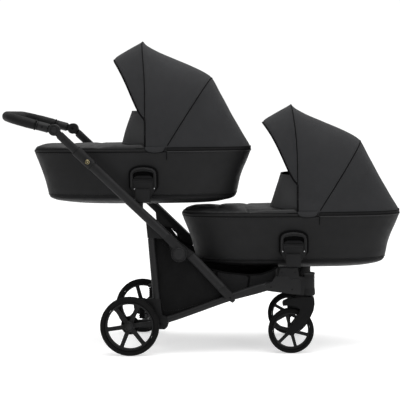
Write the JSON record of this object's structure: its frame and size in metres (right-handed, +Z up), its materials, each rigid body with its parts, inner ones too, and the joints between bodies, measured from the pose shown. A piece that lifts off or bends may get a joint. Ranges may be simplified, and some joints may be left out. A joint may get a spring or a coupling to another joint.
{
  "type": "tandem twin pram",
  "caption": "Tandem twin pram with two lie-flat carrycots, folding hoods, telescopic tilting push handle, shopping basket and swivelling front wheels.",
  "frame": {"origin": "on the ground, under the middle of the whole pram's length and width", "axes": "+X forward, from the push handle towards the front wheels; +Y to the pram's left; +Z up"},
  "size_m": [1.5684, 0.605, 1.2245],
  "materials": {
    "black_powder_coat": "matt black powder coat on aluminium tube",
    "black_moulding": "fine-grained black moulding",
    "black_rim": "matt black moulded wheel",
    "tyre_rubber": "black foam-filled rubber",
    "black_leatherette": "soft black leatherette with a fine grain",
    "hood_cloth": "matt black coated hood cloth",
    "basket_cloth": "black woven polyester",
    "mattress_cover": "pale knitted cotton",
    "bow_wire": "drawn wire",
    "brass_button": "satin brass"
  },
  "bodies": {
    "chassis": {"bottom_rail_right": "black_powder_coat", "bottom_rail_left": "black_powder_coat", "lower_tube_right": "black_powder_coat", "lower_tube_left": "black_powder_coat", "hinge_housing_right": "black_moulding", "hinge_housing_left": "black_moulding", "rear_leg_right": "black_powder_coat", "rear_leg_left": "black_powder_coat", "suspension_boot_right": "tyre_rubber", "suspension_boot_left": "tyre_rubber", "front_bracket_right": "black_moulding", "front_bracket_left": "black_moulding", "side_panel_right": "basket_cloth", "side_panel_left": "basket_cloth", "front_cross_tube": "black_powder_coat", "shopping_basket": "basket_cloth", "lower_cot_tub": "black_leatherette", "lower_cot_mattress": "mattress_cover", "lower_cot_apron": "black_leatherette", "lower_hood_cover": "hood_cloth", "lower_side_plate_right": "black_moulding", "lower_side_plate_left": "black_moulding"},
    "rear_axle": {"rear_axle_beam": "black_powder_coat"},
    "brake": {"brake_pedal": "black_moulding"},
    "rear_wheel_right": {"rear_rim_right": "black_rim", "rear_tyre_right": "tyre_rubber"},
    "rear_wheel_left": {"rear_rim_left": "black_rim", "rear_tyre_left": "tyre_rubber"},
    "caster_right": {"front_fork_right": "black_moulding"},
    "caster_left": {"front_fork_left": "black_moulding"},
    "front_wheel_right": {"front_rim_right": "black_rim", "front_tyre_right": "tyre_rubber"},
    "front_wheel_left": {"front_rim_left": "black_rim", "front_tyre_left": "tyre_rubber"},
    "push_bar": {"push_tube_right": "black_powder_coat", "push_tube_left": "black_powder_coat"},
    "fold_latch_right": {"fold_button_right": "black_moulding"},
    "fold_latch_left": {"fold_button_left": "black_moulding"},
    "height_latch_right": {"height_button_right": "brass_button"},
    "height_latch_left": {"height_button_left": "brass_button"},
    "telescope": {"telescopic_tube_right": "black_powder_coat", "telescopic_tube_left": "black_powder_coat"},
    "tilt_latch_right": {"knob_button_right": "black_moulding"},
    "tilt_latch_left": {"knob_button_left": "black_moulding"},
    "handle": {"handle_tube": "black_moulding", "handle_grip": "black_leatherette"},
    "upper_cot": {"upper_cot_tub": "black_leatherette", "upper_cot_mattress": "mattress_cover", "upper_cot_apron": "black_leatherette", "upper_hood_cover": "hood_cloth", "upper_side_plate_right": "black_moulding", "upper_side_plate_left": "black_moulding"},
    "upper_release_right": {"upper_release_lever_right": "black_moulding"},
    "upper_release_left": {"upper_release_lever_left": "black_moulding"},
    "upper_bow_front": {"upper_hood_bow_front": "bow_wire"},
    "upper_bow_rear": {"upper_hood_bow_rear": "bow_wire"},
    "lower_release_right": {"lower_release_lever_right": "black_moulding"},
    "lower_release_left": {"lower_release_lever_left": "black_moulding"},
    "lower_bow_front": {"lower_hood_bow_front": "bow_wire"},
    "lower_bow_rear": {"lower_hood_bow_rear": "bow_wire"}
  },
  "joints": [
    {"name": "frame_fold", "type": "hinge", "parent": "chassis", "child": "push_bar", "pos_m": [-0.0843, 0, 0.3935], "axis": [0, 1, 0], "range_deg": [0, 108]},
    {"name": "telescope_slide", "type": "slide", "parent": "push_bar", "child": "telescope", "axis": [0.7208, 0, -0.6932], "range_m": [-0.1, 0]},
    {"name": "handle_tilt", "type": "hinge", "parent": "telescope", "child": "handle", "pos_m": [-0.5633, 0, 0.877], "axis": [0, 1, 0], "range_deg": [-45, 30]},
    {"name": "rear_suspension", "type": "hinge", "parent": "chassis", "child": "rear_axle", "pos_m": [-0.1583, 0, 0.118], "axis": [0, 1, 0], "range_deg": [0, 6], "stiffness_Nm_per_rad": 250, "springref_deg": -6.88, "deforming": ["suspension_boot_right", "suspension_boot_left"]},
    {"name": "rear_wheel_spin_right", "type": "hinge", "parent": "rear_axle", "child": "rear_wheel_right", "pos_m": [-0.2783, -0.28, 0.115], "axis": [0, 1, 0], "continuous": true},
    {"name": "rear_wheel_spin_left", "type": "hinge", "parent": "rear_axle", "child": "rear_wheel_left", "pos_m": [-0.2783, 0.28, 0.115], "axis": [0, 1, 0], "continuous": true},
    {"name": "brake_press", "type": "hinge", "parent": "rear_axle", "child": "brake", "pos_m": [-0.2333, 0, 0.115], "axis": [0, -1, 0], "range_deg": [0, 25]},
    {"name": "caster_swivel_right", "type": "hinge", "parent": "chassis", "child": "caster_right", "pos_m": [0.4157, -0.225, 0.2], "axis": [0, 0, 1], "continuous": true},
    {"name": "front_wheel_spin_right", "type": "hinge", "parent": "caster_right", "child": "front_wheel_right", "pos_m": [0.3467, -0.225, 0.089], "axis": [0, 1, 0], "continuous": true},
    {"name": "caster_swivel_left", "type": "hinge", "parent": "chassis", "child": "caster_left", "pos_m": [0.4157, 0.225, 0.2], "axis": [0, 0, 1], "continuous": true},
    {"name": "front_wheel_spin_left", "type": "hinge", "parent": "caster_left", "child": "front_wheel_left", "pos_m": [0.3467, 0.225, 0.089], "axis": [0, 1, 0], "continuous": true},
    {"name": "fold_button_press_right", "type": "slide", "parent": "push_bar", "child": "fold_latch_right", "axis": [0, 1, 0], "range_m": [0, 0.002], "stiffness_N_per_m": 1500, "springref_m": -0.003},
    {"name": "height_button_press_right", "type": "slide", "parent": "push_bar", "child": "height_latch_right", "axis": [0, 1, 0], "range_m": [0, 0.0015], "stiffness_N_per_m": 1500, "springref_m": -0.003},
    {"name": "knob_button_press_right", "type": "slide", "parent": "telescope", "child": "tilt_latch_right", "axis": [0, 1, 0], "range_m": [0, 0.002], "stiffness_N_per_m": 1500, "springref_m": -0.003},
    {"name": "fold_button_press_left", "type": "slide", "parent": "push_bar", "child": "fold_latch_left", "axis": [0, -1, 0], "range_m": [0, 0.002], "stiffness_N_per_m": 1500, "springref_m": -0.003},
    {"name": "height_button_press_left", "type": "slide", "parent": "push_bar", "child": "height_latch_left", "axis": [0, -1, 0], "range_m": [0, 0.0015], "stiffness_N_per_m": 1500, "springref_m": -0.003},
    {"name": "knob_button_press_left", "type": "slide", "parent": "telescope", "child": "tilt_latch_left", "axis": [0, -1, 0], "range_m": [0, 0.002], "stiffness_N_per_m": 1500, "springref_m": -0.003},
    {"name": "upper_cot_lift", "type": "slide", "parent": "chassis", "child": "upper_cot", "axis": [0, 0, -1], "range_m": [-0.08, 0]},
    {"name": "upper_hood_fold", "type": "hinge", "parent": "upper_cot", "child": "upper_bow_front", "pos_m": [-0.2061, 0, 0.695], "axis": [0, -1, 0], "range_deg": [-50, 0], "deforming": ["upper_hood_cover"]},
    {"name": "upper_hood_rear_fold", "type": "hinge", "parent": "upper_cot", "child": "upper_bow_rear", "pos_m": [-0.2061, 0, 0.695], "axis": [0, -1, 0], "range_deg": [-22.5, 0]},
    {"name": "upper_release_pull_right", "type": "slide", "parent": "upper_cot", "child": "upper_release_right", "axis": [0, 0, 1], "range_m": [0, 0.008], "stiffness_N_per_m": 500, "springref_m": -0.006},
    {"name": "upper_release_pull_left", "type": "slide", "parent": "upper_cot", "child": "upper_release_left", "axis": [0, 0, 1], "range_m": [0, 0.008], "stiffness_N_per_m": 500, "springref_m": -0.006},
    {"name": "lower_hood_fold", "type": "hinge", "parent": "chassis", "child": "lower_bow_front", "pos_m": [0.3869, 0, 0.4385], "axis": [0, -1, 0], "range_deg": [-50, 0], "deforming": ["lower_hood_cover"]},
    {"name": "lower_hood_rear_fold", "type": "hinge", "parent": "chassis", "child": "lower_bow_rear", "pos_m": [0.3869, 0, 0.4385], "axis": [0, -1, 0], "range_deg": [-22.5, 0]},
    {"name": "lower_release_pull_right", "type": "slide", "parent": "chassis", "child": "lower_release_right", "axis": [0, 0, 1], "range_m": [0, 0.008], "stiffness_N_per_m": 500, "springref_m": -0.006},
    {"name": "lower_release_pull_left", "type": "slide", "parent": "chassis", "child": "lower_release_left", "axis": [0, 0, 1], "range_m": [0, 0.008], "stiffness_N_per_m": 500, "springref_m": -0.006}
  ],
  "couplings": [
    {"joint": "upper_hood_rear_fold", "follows": "upper_hood_fold", "ratio": 0.45},
    {"joint": "lower_hood_rear_fold", "follows": "lower_hood_fold", "ratio": 0.45}
  ]
}
